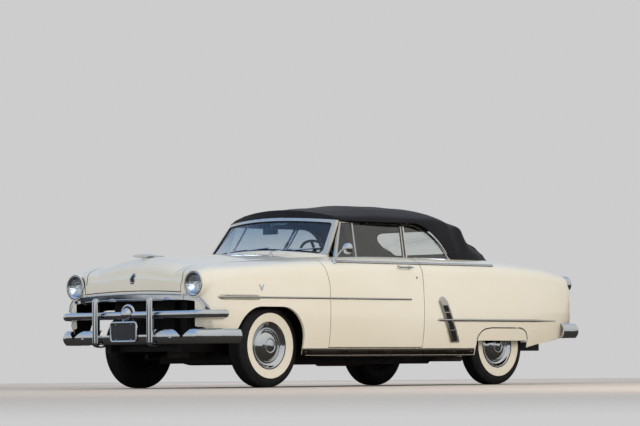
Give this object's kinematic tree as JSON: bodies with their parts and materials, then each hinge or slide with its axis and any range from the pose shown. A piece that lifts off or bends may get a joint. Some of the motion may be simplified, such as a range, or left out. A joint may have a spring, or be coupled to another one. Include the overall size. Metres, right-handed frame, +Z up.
{
  "type": "two-door convertible car with cloth top",
  "caption": "Early 1950s full-size convertible: steel body, cloth top, opening doors, hood and trunk lid, steered front wheels, whitewall tyres, bright bumpers.",
  "frame": {"origin": "middle of the car's outline on the ground it stands on", "axes": "+Z up, front of the car faces -Y, the driver's (left) side is +X"},
  "size_m": [1.916, 5.022, 1.579],
  "materials": {
    "ivory_paint": "ivory gloss enamel",
    "underbody_paint": "black chassis paint",
    "cast_parts": "painted castings",
    "exhaust_steel": "dull steel",
    "bright_chrome": "polished chrome plate",
    "window_glass": "clear laminated glass",
    "clear_lens": "fluted clear lens",
    "red_lens": "ruby lens",
    "top_cloth": "black top cloth",
    "seat_vinyl": "sewn seat trim",
    "dash_paint": "painted dash",
    "wheel_plastic": "moulded rim",
    "plate_paint": "blank painted plate",
    "tyre_rubber": "whitewall tyre"
  },
  "bodies": {
    "root": {"chassis_frame": "underbody_paint", "cowl_panel": "ivory_paint", "dashboard": "dash_paint", "deck_panel": "ivory_paint", "drive_shaft": "cast_parts", "engine_block": "cast_parts", "exhaust": "exhaust_steel", "fender_left": "ivory_paint", "fender_right": "ivory_paint", "fender_skirts": "ivory_paint", "firewall": "underbody_paint", "fixed_glass": "window_glass", "floor_pan": "underbody_paint", "front_bumper": "bright_chrome", "front_seat": "seat_vinyl", "front_suspension": "underbody_paint", "fuel_tank": "underbody_paint", "gravel_shields": "bright_chrome", "grille": "bright_chrome", "headlamp_rims": "bright_chrome", "lamp_lenses": "clear_lens", "nose_panel": "ivory_paint", "plates": "plate_paint", "quarter_left": "ivory_paint", "quarter_right": "ivory_paint", "radiator": "underbody_paint", "rear_axle": "cast_parts", "rear_bumper": "bright_chrome", "rear_seat": "seat_vinyl", "side_mouldings": "bright_chrome", "soft_top": "top_cloth", "steering_column": "dash_paint", "tail_lamps": "red_lens", "tail_panel": "ivory_paint", "trunk_floor": "underbody_paint", "wheel_housings": "underbody_paint", "window_frames": "bright_chrome"},
    "door_left": {"door_left": "ivory_paint", "door_glass_left": "window_glass", "door_trim_left": "bright_chrome"},
    "door_right": {"door_right": "ivory_paint", "door_glass_right": "window_glass", "door_trim_right": "bright_chrome"},
    "hood": {"hood": "ivory_paint", "hood_ornament": "bright_chrome"},
    "trunk": {"trunk_lid": "ivory_paint"},
    "knuckle_left": {"knuckle_left": "cast_parts"},
    "knuckle_right": {"knuckle_right": "cast_parts"},
    "steering": {"steering_wheel": "wheel_plastic"},
    "wheel_fl": {"wheel_fl": "bright_chrome", "tyre_fl": "tyre_rubber"},
    "wheel_fr": {"wheel_fr": "bright_chrome", "tyre_fr": "tyre_rubber"},
    "wheel_rl": {"wheel_rl": "bright_chrome", "tyre_rl": "tyre_rubber"},
    "wheel_rr": {"wheel_rr": "bright_chrome", "tyre_rr": "tyre_rubber"}
  },
  "joints": [
    {"name": "door_left_hinge", "type": "hinge", "parent": "root", "child": "door_left", "pos_m": [0.943, -0.9895, 0.7], "axis": [0, 0, -1], "range_deg": [0, 62]},
    {"name": "door_right_hinge", "type": "hinge", "parent": "root", "child": "door_right", "pos_m": [-0.943, -0.9895, 0.7], "axis": [0, 0, 1], "range_deg": [0, 62]},
    {"name": "hood_hinge", "type": "hinge", "parent": "root", "child": "hood", "pos_m": [0, -1.0365, 1.137], "axis": [-1, 0, 0], "range_deg": [0, 48]},
    {"name": "trunk_hinge", "type": "hinge", "parent": "root", "child": "trunk", "pos_m": [0, 1.5745, 1.106], "axis": [1, 0, 0], "range_deg": [0, 70]},
    {"name": "steer_left", "type": "hinge", "parent": "root", "child": "knuckle_left", "pos_m": [0.64, -1.596, 0.345], "axis": [0, 0, 1], "range_deg": [-32, 32]},
    {"name": "steer_right", "type": "hinge", "parent": "root", "child": "knuckle_right", "pos_m": [-0.64, -1.596, 0.345], "axis": [0, 0, 1], "range_deg": [-32, 32]},
    {"name": "steering_wheel_turn", "type": "hinge", "parent": "root", "child": "steering", "pos_m": [0.37, -0.516, 1.053], "axis": [0, 0.8829, 0.4695], "range_deg": [-768, 768]},
    {"name": "roll_fl", "type": "hinge", "parent": "knuckle_left", "child": "wheel_fl", "pos_m": [0.7365, -1.596, 0.345], "axis": [1, 0, 0], "continuous": true},
    {"name": "roll_fr", "type": "hinge", "parent": "knuckle_right", "child": "wheel_fr", "pos_m": [-0.7365, -1.596, 0.345], "axis": [1, 0, 0], "continuous": true},
    {"name": "roll_rl", "type": "hinge", "parent": "root", "child": "wheel_rl", "pos_m": [0.711, 1.325, 0.345], "axis": [1, 0, 0], "continuous": true},
    {"name": "roll_rr", "type": "hinge", "parent": "root", "child": "wheel_rr", "pos_m": [-0.711, 1.325, 0.345], "axis": [1, 0, 0], "continuous": true}
  ],
  "couplings": [
    {"joint": "steer_right", "follows": "steer_left", "ratio": 1},
    {"joint": "steering_wheel_turn", "follows": "steer_left", "ratio": 24}
  ]
}
